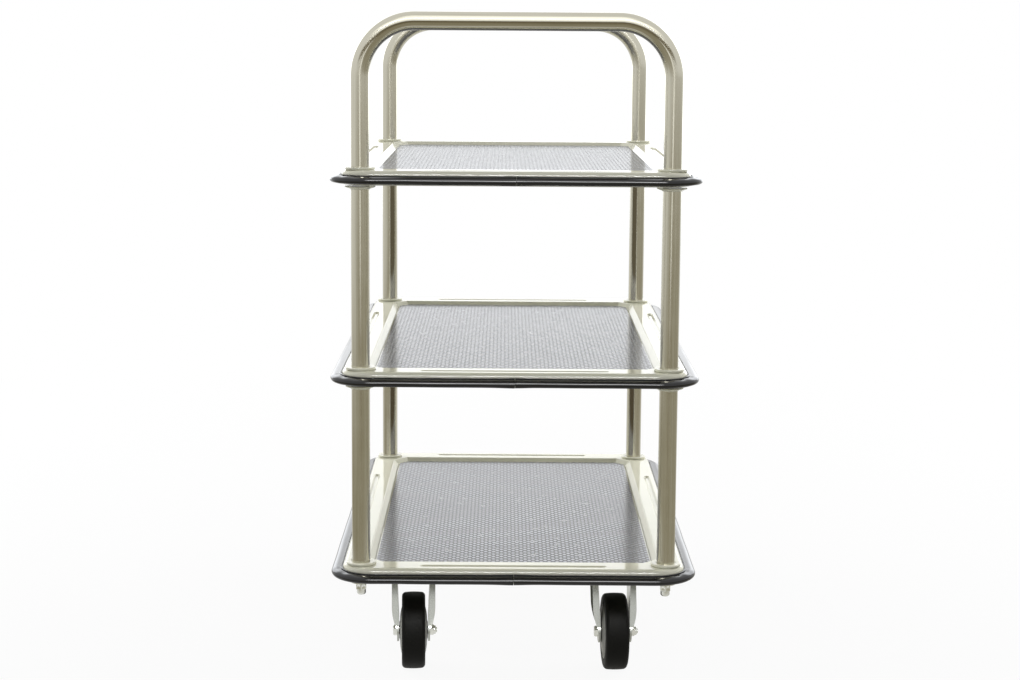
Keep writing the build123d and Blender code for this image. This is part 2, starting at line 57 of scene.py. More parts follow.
# Photograph and camera
IMAGE_WIDTH = 1020
FOCAL_PIXELS = 1943.4
SHIFT_PIXELS = -50
SENSOR_WIDTH = 36.0
CAMERA_PLACE = Vector((-0.0155, -2.8105, 0.8506))
CAMERA_YAW = 0.0034
CAMERA_PITCH = 0.1327
CAMERA_ROLL = 0.007


def make_camera():
    """The camera at the photograph's viewpoint, looking slightly down along +Y."""
    data = bpy.data.cameras.new("camera")
    data.sensor_width = SENSOR_WIDTH
    data.lens = FOCAL_PIXELS / IMAGE_WIDTH * SENSOR_WIDTH
    data.shift_y = SHIFT_PIXELS / IMAGE_WIDTH
    camera = bpy.data.objects.new("camera", data)
    SCENE.collection.objects.link(camera)
    level = math.cos(CAMERA_PITCH)
    forward = Vector((math.sin(CAMERA_YAW) * level, math.cos(CAMERA_YAW) * level, -math.sin(CAMERA_PITCH)))
    right = Vector((math.cos(CAMERA_YAW), -math.sin(CAMERA_YAW), 0))
    up = right.cross(forward)
    turned_right = right * math.cos(CAMERA_ROLL) + up * math.sin(CAMERA_ROLL)
    turned_up = up * math.cos(CAMERA_ROLL) - right * math.sin(CAMERA_ROLL)
    axes = Matrix((turned_right, turned_up, -forward)).transposed()
    camera.matrix_world = Matrix.Translation(CAMERA_PLACE) @ axes.to_4x4()
    SCENE.camera = camera


# Shader node helpers

# Sockets of a mix node that mixes colours
MIX_FACTOR = 0
MIX_FIRST = 6
MIX_SECOND = 7
MIX_RESULT = 2


def put(tree, socket, value):
    """Links or sets one input socket."""
    if isinstance(value, bpy.types.NodeSocket):
        tree.links.new(value, socket)
    else:
        socket.default_value = value


def add(tree, kind, settings=None, **inputs):
    """A new shader node: settings are its own properties, inputs its sockets (spaces as underscores)."""
    node = tree.nodes.new("ShaderNode" + kind)
    for name, value in (settings or {}).items():
        setattr(node, name, value)
    for name, value in inputs.items():
        put(tree, node.inputs[name.replace("_", " ")], value)
    return node


def maths(tree, operation, first, second=0.0):
    """A math node's result."""
    node = add(tree, "Math", {"operation": operation})
    put(tree, node.inputs[0], first)
    put(tree, node.inputs[1], second)
    return node.outputs[0]


def scaled(tree, vector, scale):
    """A vector times a scale for each axis."""
    node = add(tree, "VectorMath", {"operation": "MULTIPLY"})
    put(tree, node.inputs[0], vector)
    node.inputs[1].default_value = scale
    return node.outputs[0]


def noise(tree, vector, scale, detail=2.0, roughness=0.5):
    """A noise value from 0 to 1."""
    node = add(tree, "TexNoise", Vector=vector, Scale=scale, Detail=detail, Roughness=roughness)
    return node.outputs["Fac"]


def spread(tree, value, low, high, start=0.3, stop=0.7):
    """A value between start and stop, spread over low to high and clamped."""
    node = add(tree, "MapRange", Value=value, From_Min=start, From_Max=stop, To_Min=low, To_Max=high)
    return node.outputs[0]


def mixed(tree, factor, first, second):
    """A colour between two colours."""
    node = add(tree, "Mix", {"data_type": "RGBA"})
    put(tree, node.inputs[MIX_FACTOR], factor)
    put(tree, node.inputs[MIX_FIRST], first)
    put(tree, node.inputs[MIX_SECOND], second)
    return node.outputs[MIX_RESULT]


def bumped(tree, height, distance, strength=1.0):
    """A normal bent by a height field."""
    node = add(tree, "Bump", Height=height, Distance=distance, Strength=strength)
    return node.outputs["Normal"]


def attribute(tree, name, output):
    """A mesh attribute's value."""
    return add(tree, "Attribute", {"attribute_name": name}).outputs[output]


def vector_length(tree, vector):
    """How long a vector is."""
    node = add(tree, "VectorMath", {"operation": "LENGTH"})
    put(tree, node.inputs[0], vector)
    return node.outputs["Value"]


def new_material(name):
    """A node material: itself, its tree, its surface shader and the object coordinates."""
    material = bpy.data.materials.new(name)
    material.use_nodes = True
    tree = material.node_tree
    shader = tree.nodes["Principled BSDF"]
    place = add(tree, "TexCoord").outputs["Object"]
    return material, tree, shader, place


def colour(red, green, blue):
    """A display colour from 0 to 255 as a linear colour."""
    shares = [part / 255 for part in (red, green, blue)]
    linear = [s / 12.92 if s <= 0.04045 else ((s + 0.055) / 1.055) ** 2.4 for s in shares]
    return (*linear, 1.0)


# Finishes


def ivory_paint():
    """Stoved ivory enamel: glossy, with a faint orange peel and slightly uneven tone."""
    material, tree, shader, place = new_material("ivory_paint")
    tone = noise(tree, place, 9.0, 3.0)
    put(tree, shader.inputs["Base Color"],
        mixed(tree, spread(tree, tone, 0.0, 1.0), colour(226, 225, 207), colour(219, 218, 198)))
    smear = noise(tree, place, 26.0, 4.0)
    put(tree, shader.inputs["Roughness"], spread(tree, smear, 0.03, 0.07))
    shader.inputs["IOR"].default_value = 1.5
    peel = noise(tree, place, 420.0, 1.0)
    put(tree, shader.inputs["Normal"], bumped(tree, peel, 0.000012))
    return material


def grey_mat():
    """Light grey vinyl, satin, with painted shade darkening its colour on the slopes of its studs and
    between them, where it is also duller.
    """
    material, tree, shader, place = new_material("grey_mat")
    tone = noise(tree, place, 14.0, 4.0)
    light = mixed(tree, spread(tree, tone, 0.0, 1.0), colour(148, 150, 158), colour(140, 142, 150))
    # Painted shade: the stud edge value darkens the colour on the studs' slopes and between the studs
    edge = spread(tree, attribute(tree, "edge", "Fac"), 0.0, 1.0, 0.6, 0.95)
    put(tree, shader.inputs["Base Color"], mixed(tree, edge, light, colour(74, 75, 80)))
    shader.inputs["IOR"].default_value = 1.5
    wear = spread(tree, noise(tree, place, 60.0, 3.0), 0.09, 0.14)
    put(tree, shader.inputs["Roughness"], maths(tree, "ADD", wear, maths(tree, "MULTIPLY", edge, 0.14)))
    grain = noise(tree, place, 2600.0, 2.0)
    put(tree, shader.inputs["Normal"], bumped(tree, grain, 0.000003))
    return material


def black_bumper():
    """Glossy black soft extrusion."""
    material, tree, shader, place = new_material("black_bumper")
    tone = noise(tree, place, 30.0, 4.0)
    put(tree, shader.inputs["Base Color"],
        mixed(tree, spread(tree, tone, 0.0, 1.0), colour(6, 6, 10), colour(10, 10, 14)))
    shader.inputs["IOR"].default_value = 1.5
    put(tree, shader.inputs["Roughness"], spread(tree, noise(tree, place, 70.0, 3.0), 0.06, 0.11))
    waves = noise(tree, place, 35.0, 2.0)
    put(tree, shader.inputs["Normal"], bumped(tree, waves, 0.00015))
    return material


def steel(name, light, dark, low_roughness, high_roughness, stretch, grain=None):
    """Metal with fine lines: noise stretched along each axis of the place or of a grain attribute."""
    material, tree, shader, place = new_material(name)
    along = attribute(tree, grain, "Vector") if grain else place
    lines = noise(tree, scaled(tree, along, stretch), 1.0, 3.0)
    clouds = noise(tree, place, 30.0, 3.0)
    shader.inputs["Metallic"].default_value = 1.0
    put(tree, shader.inputs["Base Color"], mixed(tree, spread(tree, lines, 0.0, 1.0), dark, light))
    both = maths(tree, "MULTIPLY", maths(tree, "ADD", lines, clouds), 0.5)
    put(tree, shader.inputs["Roughness"], spread(tree, both, low_roughness, high_roughness, 0.35, 0.65))
    put(tree, shader.inputs["Normal"], bumped(tree, lines, 0.00001, 0.6))
    return material


def polished_tube(name, bent):
    """Bright tube polished round its girth, which draws its reflections out along its length."""
    material = steel(name, (0.6, 0.58, 0.49, 1), (0.51, 0.49, 0.4, 1), 0.12, 0.17,
                     (1500.0, 1500.0, 8.0), "grain" if bent else None)
    tree = material.node_tree
    shader = tree.nodes["Principled BSDF"]
    shader.inputs["Anisotropic"].default_value = 0.85
    if bent:
        put(tree, shader.inputs["Tangent"], attribute(tree, "lengthwise", "Vector"))
    else:
        shader.inputs["Anisotropic Rotation"].default_value = 0.25
        girth = add(tree, "Tangent", {"direction_type": "RADIAL", "axis": "Z"})
        put(tree, shader.inputs["Tangent"], girth.outputs[0])
    return material


def tyre_rubber():
    """Matte black moulded rubber with a fine grain and a little dust."""
    material, tree, shader, place = new_material("tyre_rubber")
    dust = noise(tree, place, 40.0, 5.0, 0.6)
    put(tree, shader.inputs["Base Color"],
        mixed(tree, spread(tree, dust, 0.0, 1.0, 0.35, 0.75), colour(8, 8, 5), colour(13, 12, 9)))
    shader.inputs["IOR"].default_value = 1.22
    put(tree, shader.inputs["Roughness"], spread(tree, dust, 0.48, 0.62))
    grain = noise(tree, place, 1500.0, 2.0)
    put(tree, shader.inputs["Normal"], bumped(tree, grain, 0.00008))
    return material


def core_plastic():
    """Mid grey moulded plastic."""
    material, tree, shader, place = new_material("core_plastic")
    tone = noise(tree, place, 50.0, 3.0)
    put(tree, shader.inputs["Base Color"],
        mixed(tree, spread(tree, tone, 0.0, 1.0), colour(136, 136, 130), colour(124, 124, 118)))
    put(tree, shader.inputs["Roughness"], spread(tree, tone, 0.38, 0.52))
    grain = noise(tree, place, 1200.0, 2.0)
    put(tree, shader.inputs["Normal"], bumped(tree, grain, 0.00005))
    return material


def make_finishes():
    """Every finish by its slot name, with a second tube finish for the bent handles."""
    return {
        "ivory_paint": ivory_paint(),
        "grey_mat": grey_mat(),
        "black_bumper": black_bumper(),
        "tube_steel": polished_tube("tube_steel", False),
        "handle_steel": polished_tube("handle_steel", True),
        "plain_steel": steel("plain_steel", (0.5, 0.5, 0.5, 1), (0.4, 0.4, 0.4, 1), 0.3, 0.45,
                             (300.0, 300.0, 300.0)),
        "zinc_pressing": steel("zinc_pressing", (0.42, 0.43, 0.4, 1), (0.37, 0.38, 0.35, 1), 0.2, 0.3,
                               (60.0, 60.0, 60.0)),
        "zinc_fastener": steel("zinc_fastener", (0.8, 0.81, 0.77, 1), (0.7, 0.71, 0.67, 1), 0.12, 0.2,
                               (250.0, 250.0, 250.0)),
        "tyre_rubber": tyre_rubber(),
        "core_plastic": core_plastic(),
    }


# Which finish each node has, by the words in its name
FINISH_OF = {
    "deck": "ivory_paint",
    "collars": "ivory_paint",
    "mat": "grey_mat",
    "bumper": "black_bumper",
    "handle": "tube_steel",
    "post": "tube_steel",
    "channels": "ivory_paint",
    "spacers": "plain_steel",
    "inserts": "plain_steel",
    "rods": "plain_steel",
    "balls": "plain_steel",
    "sleeve": "plain_steel",
    "sleeves": "plain_steel",
    "plate": "zinc_pressing",
    "fork": "zinc_pressing",
    "bracket": "zinc_pressing",
    "kingpin": "zinc_fastener",
    "washers": "zinc_fastener",
    "nuts": "zinc_fastener",
    "bolts": "zinc_fastener",
    "bolt": "zinc_fastener",
    "nut": "zinc_fastener",
    "core": "core_plastic",
    "tyre": "tyre_rubber",
}


def finish_nodes(finishes):
    """Gives every CAD node its finish, by the last word of its name that has one."""
    for name, node in NODES.items():
        words = [word for word in name.split("_") if word in FINISH_OF]
        node.data.materials.clear()
        node.data.materials.append(finishes[FINISH_OF[words[-1]]])


# Mesh helpers

MM = 0.001
TIERS = ("top", "middle", "bottom")
TURN_STEPS = 72


def skin(rings, closed):
    """Points and faces over a row of rings, each a closed outline with the same count of points.

    A closed row runs back to its first ring, and an open one gets a cap at each end.
    """
    count = len(rings[0])
    points = [point for ring in rings for point in ring]
    faces = []
    for step in range(len(rings) if closed else len(rings) - 1):
        near = step * count
        far = (step + 1) % len(rings) * count
        for this in range(count):
            following = (this + 1) % count
            faces.append((near + this, near + following, far + following, far + this))
    if not closed:
        faces.append(tuple(range(count)))
        faces.append(tuple(range(len(points) - 1, len(points) - count - 1, -1)))
    return points, faces


def joined(shapes):
    """Points and faces of several shapes as one."""
    points, faces = [], []
    for shape_points, shape_faces in shapes:
        first = len(points)
        points += shape_points
        faces += [tuple(first + corner for corner in face) for face in shape_faces]
    return points, faces


def turned(profile, centre):
    """A closed profile of (radius, height) turned about a vertical axis."""
    rings = []
    for step in range(TURN_STEPS):
        angle = 2 * math.pi * step / TURN_STEPS
        rings.append([
            (centre[0] + radius * math.cos(angle), centre[1] + radius * math.sin(angle), centre[2] + height)
            for radius, height in profile
        ])
    return skin(rings, True)


def arc(centre, radius, start, stop, steps):
    """Points of an arc in a plane, with its angles in degrees."""
    angles = [math.radians(start + (stop - start) * step / steps) for step in range(steps + 1)]
    return [(centre[0] + radius * math.cos(a), centre[1] + radius * math.sin(a)) for a in angles]


def new_piece(name, mesh, finish, slot, *nodes, body="cart", crease=35):
    """An object that stands for CAD nodes of a body."""
    mesh.polygons.foreach_set("use_smooth", [True] * len(mesh.polygons))
    mesh.set_sharp_from_angle(angle=math.radians(crease))
    mesh.materials.append(finish)
    piece = bpy.data.objects.new(name, mesh)
    SCENE.collection.objects.link(piece)
    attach(piece, body)
    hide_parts(*nodes)


def new_mesh(name, points, faces):
    """A mesh whose faces all look outwards."""
    mesh = bpy.data.meshes.new(name)
    mesh.from_pydata(points, [], faces)
    work = bmesh.new()
    work.from_mesh(mesh)
    bmesh.ops.recalc_face_normals(work, faces=work.faces)
    work.to_mesh(mesh)
    work.free()
    return mesh


# Studded mats

STUD_PITCH_X = 10.6 * MM
STUD_PITCH_Y = 12.1 * MM
STUD_RADIUS = 3.75 * MM
STUD_TOP_RADIUS = 3.2 * MM
STUD_HEIGHT = 0.2 * MM
STUD_SIDES = 12
STUD_CREASE = 8
# The edge value between the studs, which darkens the mat there as painted shade
SHADE_BETWEEN = 0.7


def stud_field(half_x, half_y, floor):
    """Points, faces and edge values of a studded sheet: one diamond round each stud, staggered by rows.

    The edge value is one on a stud's slope, less between the studs and nothing at a stud's middle; the
    mat's finish darkens its colour by it, as painted shade.
    """
    columns = math.ceil(2 * half_x / STUD_PITCH_X) + 1
    rows = math.ceil(2 * half_y / STUD_PITCH_Y) + 1
    points, faces, edges, corners = [], [], [], {}

    def corner(column, row):
        if (column, row) not in corners:
            corners[column, row] = len(points)
            points.append((column * STUD_PITCH_X / 2, row * STUD_PITCH_Y / 2, floor))
            edges.append(SHADE_BETWEEN)
        return corners[column, row]

    turns = [2 * math.pi * side / STUD_SIDES for side in range(STUD_SIDES)]
    quarter = STUD_SIDES // 4
    for column in range(-columns, columns + 1):
        for row in range(-rows, rows + 1):
            if (column + row) % 2:
                continue
            x = column * STUD_PITCH_X / 2
            y = row * STUD_PITCH_Y / 2
            around = [corner(column + 1, row), corner(column, row + 1),
                      corner(column - 1, row), corner(column, row - 1)]
            middle = len(points)
            top = middle + 1
            foot = top + STUD_SIDES
            points.append((x, y, floor + STUD_HEIGHT))
            for reach, height in ((STUD_TOP_RADIUS, floor + STUD_HEIGHT), (STUD_RADIUS, floor)):
                points += [(x + reach * math.cos(a), y + reach * math.sin(a), height) for a in turns]
            edges += [0.0] + [1.0] * (2 * STUD_SIDES)
            for side in range(STUD_SIDES):
                following = (side + 1) % STUD_SIDES
                faces.append((middle, top + side, top + following))
                faces.append((top + side, foot + side, foot + following, top + following))
            for side in range(4):
                rim = [foot + (side * quarter + k) % STUD_SIDES for k in range(quarter, -1, -1)]
                faces.append((around[side], around[(side + 1) % 4], *rim))
    return points, faces, edges


def make_mat(tier, finish):
    """A studded mat cut to the recess's outline, so that studs at its edge are cut through."""
    node = f"{tier}_mat"
    low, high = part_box(node)
    ends = [abs(v.co.x) for v in NODES[node].data.vertices if v.co.y > high.y - MM]
    cut = high.x - max(ends)
    mesh = bpy.data.meshes.new(f"{tier}_studded_mat")
    points, faces, edges = stud_field(high.x, high.y, high.z - STUD_HEIGHT)
    mesh.from_pydata(points, [], faces)
    mesh.attributes.new("edge", "FLOAT", "POINT").data.foreach_set("value", edges)
    work = bmesh.new()
    work.from_mesh(mesh)
    reach = Vector((high.x, high.y)) - Vector((cut / 2, cut / 2))
    for step in range(8):
        outward = Vector((round(math.cos(step * math.pi / 4)), round(math.sin(step * math.pi / 4))))
        on_edge = reach if outward.x and outward.y else Vector((high.x, high.y))
        bmesh.ops.bisect_plane(
            work, geom=[*work.verts, *work.edges, *work.faces], clear_outer=True,
            plane_co=(*(outward * on_edge), 0), plane_no=(*outward, 0))
    rim = [edge for edge in work.edges if edge.is_boundary]
    wall = bmesh.ops.extrude_edge_only(work, edges=rim)["geom"]
    for item in wall:
        if isinstance(item, bmesh.types.BMVert):
            item.co.z = low.z
    foot = [item for item in wall if isinstance(item, bmesh.types.BMEdge) and item.is_boundary]
    bmesh.ops.contextual_create(work, geom=foot)
    bmesh.ops.recalc_face_normals(work, faces=work.faces)
    work.to_mesh(mesh)
    work.free()
    new_piece(f"{tier}_studded_mat", mesh, finish, "grey_mat", node, crease=STUD_CREASE)


# Edge bumpers

BUMPER_WIDTH = 15 * MM
BUMPER_GAP = 1.5 * MM
BUMPER_CORNER = 56 * MM
BUMPER_SEAM = 0.4 * MM
LIP_WIDTH = 2 * MM
LIP_GROOVE = 1.2 * MM
LIP_DROP = 2.8 * MM
LIP_ROUND = 0.4 * MM
NOSE_RADIUS = 4.1 * MM
SHOULDER_RADIUS = 14.8 * MM
SHOULDER_ANGLE = 88
SHOULDER_STEPS = 6
NOSE_ANGLE = 62
NOSE_STEPS = 20
TONGUE_DEPTH = 2.4 * MM
TONGUE_TOP = 5.1 * MM
TONGUE_FOOT = 2.6 * MM
EDGE_STEP = 8 * MM
CORNER_STEPS = 30

# Slight waves along the extrusion, a long one and a short one, and how far they lift and push out its edge
LONG_WAVE = 0.22 * MM
LONG_RUN = 41 * MM
LONG_START = 0.6
SHORT_WAVE = 0.18 * MM
SHORT_RUN = 17.3 * MM
WAVE_LIFT = 0.6
WAVE_PUSH = 0.25

# The swelling at the seam, which grows up and down from a level
SWELL_RISE = 1.4 * MM
SWELL_RUN = 18 * MM
SWELL_LEVEL = 0.4

# The creases at a corner
PUCKER_RISE = 0.64 * MM
PUCKER_PUSH = 0.1 * MM
PUCKER_FOLDS = 7
PUCKER_START = 1.0
PUCKER_FADE = 0.6


def bumper_profile(height):
    """The extrusion's section as (distance out from the deck's edge, height above its foot)."""
    nose = (BUMPER_WIDTH - NOSE_RADIUS, NOSE_RADIUS)
    turn = math.radians(NOSE_ANGLE)
    offset = SHOULDER_RADIUS - NOSE_RADIUS
    shoulder = (nose[0] - offset * math.cos(turn), nose[1] - offset * math.sin(turn))
    inside = BUMPER_GAP + LIP_WIDTH
    lip = height - LIP_DROP
    groove = lip - LIP_GROOVE
    points = [(BUMPER_GAP, lip - LIP_ROUND), (BUMPER_GAP + LIP_ROUND, lip), (inside - LIP_ROUND, lip),
              (inside, lip - LIP_ROUND), (inside, groove), (inside + LIP_GROOVE, groove)]
    points += arc(shoulder, SHOULDER_RADIUS, SHOULDER_ANGLE, NOSE_ANGLE, SHOULDER_STEPS)
    points += arc(nose, NOSE_RADIUS, NOSE_ANGLE, -90, NOSE_STEPS)[1:]
    points += [(BUMPER_GAP, 0), (BUMPER_GAP, TONGUE_FOOT), (-TONGUE_DEPTH, TONGUE_FOOT),
               (-TONGUE_DEPTH, height - TONGUE_TOP), (BUMPER_GAP, height - TONGUE_TOP)]
    return points


def edge_path(half_x, half_y, radius, seam):
    """Stations round the deck's edge from the front seam.

    Each has a place, an outward direction and, at a corner, the share of its turn.
    """
    stations = []

    def run(start, stop, outward):
        steps = math.ceil((stop - start).length / EDGE_STEP)
        for step in range(steps):
            stations.append((start.lerp(stop, step / steps), outward, None))

    corners = [(1, -1, -90), (1, 1, 0), (-1, 1, 90), (-1, -1, 180)]
    here = Vector((seam / 2, -half_y))
    for side_x, side_y, start in corners:
        centre = Vector((side_x * (half_x - radius), side_y * (half_y - radius)))
        outward = Vector((math.cos(math.radians(start)), math.sin(math.radians(start))))
        run(here, centre + outward * radius, outward)
        for step in range(CORNER_STEPS):
            angle = math.radians(start + 90 * step / CORNER_STEPS)
            outward = Vector((math.cos(angle), math.sin(angle)))
            stations.append((centre + outward * radius, outward, step / CORNER_STEPS))
        angle = math.radians(start + 90)
        here = centre + Vector((math.cos(angle), math.sin(angle))) * radius
    run(here, Vector((-seam / 2, -half_y)), Vector((0, -1)))
    stations.append((Vector((-seam / 2, -half_y)), Vector((0, -1)), None))
    return stations


def make_bumper(tier, finish):
    """A soft black extrusion wrapped round a deck, butted at the front and puckered at the corners."""
    node = f"{tier}_bumper"
    low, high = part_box(node)
    height = high.z - low.z
    profile = bumper_profile(height)
    half_x, half_y = high.x - BUMPER_WIDTH, high.y - BUMPER_WIDTH
    rings = []
    length = 0.0
    before = None
    for place, outward, turn in edge_path(half_x, half_y, BUMPER_CORNER - BUMPER_WIDTH, BUMPER_SEAM):
        length += (place - before).length if before else 0.0
        before = place
        sway = LONG_WAVE * math.sin(length / LONG_RUN + LONG_START)
        sway += SHORT_WAVE * math.sin(length / SHORT_RUN)
        swell = math.exp(-((place.x / SWELL_RUN) ** 2)) if place.y < 0 else 0.0
        pucker = 0.0
        if turn is not None:
            fade = math.sin(math.pi * turn) ** PUCKER_FADE
            pucker = fade * math.sin(PUCKER_FOLDS * math.pi * turn + PUCKER_START)
        ring = []
        for out, up in profile:
            share = out / BUMPER_WIDTH
            slope = max(0.0, min(1.0, (out - BUMPER_GAP - LIP_WIDTH) / LIP_WIDTH)) * max(0.0, 1 - share)
            rise = pucker * PUCKER_RISE * slope
            rise += swell * SWELL_RISE * (up / height - SWELL_LEVEL)
            rise += sway * WAVE_LIFT * share
            reach = out + (sway * WAVE_PUSH + pucker * PUCKER_PUSH) * max(0.0, share) ** 2
            reach = min(reach, BUMPER_WIDTH)
            spot = place + outward * reach
            ring.append((spot.x, spot.y, low.z + up + rise))
        rings.append(ring)
    points, faces = skin(rings, False)
    name = f"{tier}_edge_bumper"
    new_piece(name, new_mesh(name, points, faces), finish, "black_bumper", node)


# Handles

HANDLE_BEND = 70 * MM
TUBE_WALL = 1.5 * MM
TUBE_SIDES = 64
LEG_STEPS = 10
BEND_STEPS = 32
BAR_STEPS = 16


def make_handle(end, finish):
    """A bent tube with its lengthwise and round coordinates kept for the polishing lines."""
    node = f"{end}_handle"
    low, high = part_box(node)
    radius = (high.y - low.y) / 2
    post_x = high.x - radius
    crest = high.z - radius
    y = (low.y + high.y) / 2
    left = []
    for step in range(LEG_STEPS):
        left.append((-post_x, low.z + (crest - HANDLE_BEND - low.z) * step / LEG_STEPS, 0.0))
    for step in range(BEND_STEPS + 1):
        angle = math.radians(90 * step / BEND_STEPS)
        left.append((-post_x + HANDLE_BEND * (1 - math.cos(angle)),
                     crest - HANDLE_BEND * (1 - math.sin(angle)), angle))
    bar = 2 * (post_x - HANDLE_BEND)
    middle = [(-bar / 2 + bar * step / BAR_STEPS, crest, math.pi / 2) for step in range(1, BAR_STEPS)]
    stations = left + middle + [(-x, z, math.pi - angle) for x, z, angle in reversed(left)]
    rounds = [2 * math.pi * side / TUBE_SIDES for side in range(TUBE_SIDES)]
    walls, grain, lengthwise = [], [], []
    for wall_radius in (radius, radius - TUBE_WALL):
        rings = []
        run = 0.0
        before = None
        for x, z, angle in stations:
            run += math.hypot(x - before[0], z - before[1]) if before else 0.0
            before = (x, z)
            normal = (-math.cos(angle), math.sin(angle))
            rings.append([
                (x + wall_radius * math.cos(a) * normal[0], y + wall_radius * math.sin(a),
                 z + wall_radius * math.cos(a) * normal[1])
                for a in rounds
            ])
            grain += [(wall_radius * math.cos(a), wall_radius * math.sin(a), run) for a in rounds]
            lengthwise += [(math.sin(angle), 0.0, math.cos(angle))] * TUBE_SIDES
        walls.append(rings)
    points, faces = joined([skin(rings, False) for rings in walls])
    faces = [face for face in faces if len(face) == 4]
    inner = len(stations) * TUBE_SIDES
    for first in (0, inner - TUBE_SIDES):
        for side in range(TUBE_SIDES):
            following = (side + 1) % TUBE_SIDES
            faces.append((first + side, first + following, inner + first + following, inner + first + side))
    mesh = new_mesh(f"{end}_tube_handle", points, faces)
    for name, values in (("grain", grain), ("lengthwise", lengthwise)):
        lines = mesh.attributes.new(name, "FLOAT_VECTOR", "POINT")
        lines.data.foreach_set("vector", [part for value in values for part in value])
    new_piece(f"{end}_tube_handle", mesh, finish, "tube_steel", node)


# Collars

COLLAR_RADIUS = 19.75 * MM
COLLAR_HEIGHT = 3.2 * MM
COLLAR_RIM = 1.3 * MM
COLLAR_UNDERCUT = 0.5 * MM
COLLAR_FOOT_INSET = 1.4 * MM
COLLAR_EDGE = 0.35 * MM
COLLAR_MOUTH = 1.2 * MM
COLLAR_MOUTH_DROP = 0.4 * MM
DISH_RISE = 0.8 * MM
DISH_RIM = 1.4 * MM
DISH_RIM_ANGLE = 70
DISH_DEPTH = 2.2 * MM
NECK_WALL = 1.2 * MM
NECK_HEIGHT = 0.6 * MM


def upper_collar(bore):
    """Section of a ring on a deck as (radius, height): an undercut foot and a rounded rim."""
    foot = COLLAR_RADIUS - COLLAR_FOOT_INSET
    edge = (COLLAR_RADIUS - COLLAR_EDGE, COLLAR_UNDERCUT + COLLAR_EDGE)
    rim = (COLLAR_RADIUS - COLLAR_RIM, COLLAR_HEIGHT - COLLAR_RIM)
    points = [(bore, 0), (foot, 0), (foot, COLLAR_UNDERCUT)]
    points += arc(edge, COLLAR_EDGE, -90, 0, 4)
    points += arc(rim, COLLAR_RIM, 0, 90, 8)
    return points + [(bore + COLLAR_MOUTH, COLLAR_HEIGHT), (bore, COLLAR_HEIGHT - COLLAR_MOUTH_DROP)]


def lower_collar(bore):
    """Section of a ring under a deck as (radius, depth): a rounded rim, dished down to a short neck."""
    half = DISH_RIM / 2
    dish = DISH_RIM - DISH_RISE + DISH_DEPTH
    foot = dish + NECK_HEIGHT
    points = [(bore, -DISH_RISE)]
    points += arc((COLLAR_RADIUS - half, half - DISH_RISE), half, -90, DISH_RIM_ANGLE, 8)
    return points + [(bore + NECK_WALL, dish), (bore + NECK_WALL, foot), (bore, foot)]


def make_collars(tier, finish):
    """The rings round the tube ends of a deck: above it, and dished ones below it if posts stand there."""
    node = f"{tier}_collars"
    low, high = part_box(node)
    post_low, post_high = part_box("upper_post_front_left")
    bore = (post_high.x - post_low.x) / 2
    post_x = -(post_low.x + post_high.x) / 2
    post_y = -(post_low.y + post_high.y) / 2
    shapes = []
    for side_x in (-1, 1):
        for side_y in (-1, 1):
            centre = (side_x * post_x, side_y * post_y, high.z - COLLAR_HEIGHT)
            shapes.append(turned(upper_collar(bore), centre))
            if high.z - low.z > 2 * COLLAR_HEIGHT:
                under = [(radius, -depth) for radius, depth in lower_collar(bore)]
                shapes.append(turned(under, (centre[0], centre[1], low.z + COLLAR_HEIGHT)))
    points, faces = joined(shapes)
    name = f"{tier}_tube_collars"
    new_piece(name, new_mesh(name, points, faces), finish, "ivory_paint", node)


# Wheels and their axle hardware

CORNERS = ("front_left", "front_right", "rear_left", "rear_right")
JOINTS = {joint["name"]: joint for joint in frame["joints"]}
WHEEL_RADIUS = 51 * MM
CORE_RADIUS = 37 * MM
TYRE_HALF = 15.6 * MM
TYRE_SHOULDER = 5.5 * MM
TYRE_CROWN = 0.5 * MM
TYRE_BEAD = 0.7 * MM
CROWN_STEPS = 4
RIM_WIDTH = 3 * MM
RIM_HALF = 15.4 * MM
FACE_HALF = 14.9 * MM
FACE_RISE = 3.2 * MM
FACE_STEPS = 8
HUB_RADIUS = 12 * MM
HUB_FILLET = 2 * MM
HUB_HALF = 19 * MM
SLEEVE_RADIUS = 6.1 * MM
WHEEL_STEPS = 120


def on_axle(shape, corner):
    """A shape made about the X axis, moved onto a wheel's axle."""
    joint = JOINTS[f"{corner}_roll"]
    along = Vector(joint["axis"])
    turn = Matrix.Rotation(math.atan2(along.y, along.x), 4, "Z")
    place = Matrix.Translation(joint["pos_m"]) @ turn
    points, faces = shape
    return [tuple(place @ Vector(point)) for point in points], faces


def spun(levels, closed, steps, across=0.0):
    """A shape about the X axis through (place, radius) levels, cut to a hexagon if its width is given."""
    rings = []
    for place, radius in levels:
        ring = []
        for step in range(steps):
            angle = 2 * math.pi * step / steps
            flat = across / 2 / math.cos((angle + math.pi / 6) % (math.pi / 3) - math.pi / 6)
            reach = min(radius, flat) if across else radius
            ring.append((place, reach * math.cos(angle), reach * math.sin(angle)))
        rings.append(ring)
    return skin(rings, closed)


def tyre_section():
    """The tyre's outline as (place across, radius): beads, rounded shoulders and a slight crown."""
    flank = WHEEL_RADIUS - TYRE_CROWN - TYRE_SHOULDER
    tread = TYRE_HALF - TYRE_SHOULDER
    left = [(-TYRE_HALF + TYRE_BEAD, CORE_RADIUS), (-TYRE_HALF, CORE_RADIUS + TYRE_BEAD),
            (-TYRE_HALF, CORE_RADIUS + 4 * TYRE_BEAD),
            (-TYRE_HALF + TYRE_BEAD / 2, CORE_RADIUS + 5 * TYRE_BEAD)]
    left += arc((-tread, flank), TYRE_SHOULDER, 180, 96, 10)
    crown = [tread * step / CROWN_STEPS for step in range(1 - CROWN_STEPS, CROWN_STEPS)]
    middle = [(place, WHEEL_RADIUS - TYRE_CROWN * (place / tread) ** 2) for place in crown]
    return left + middle + [(-place, radius) for place, radius in reversed(left)]


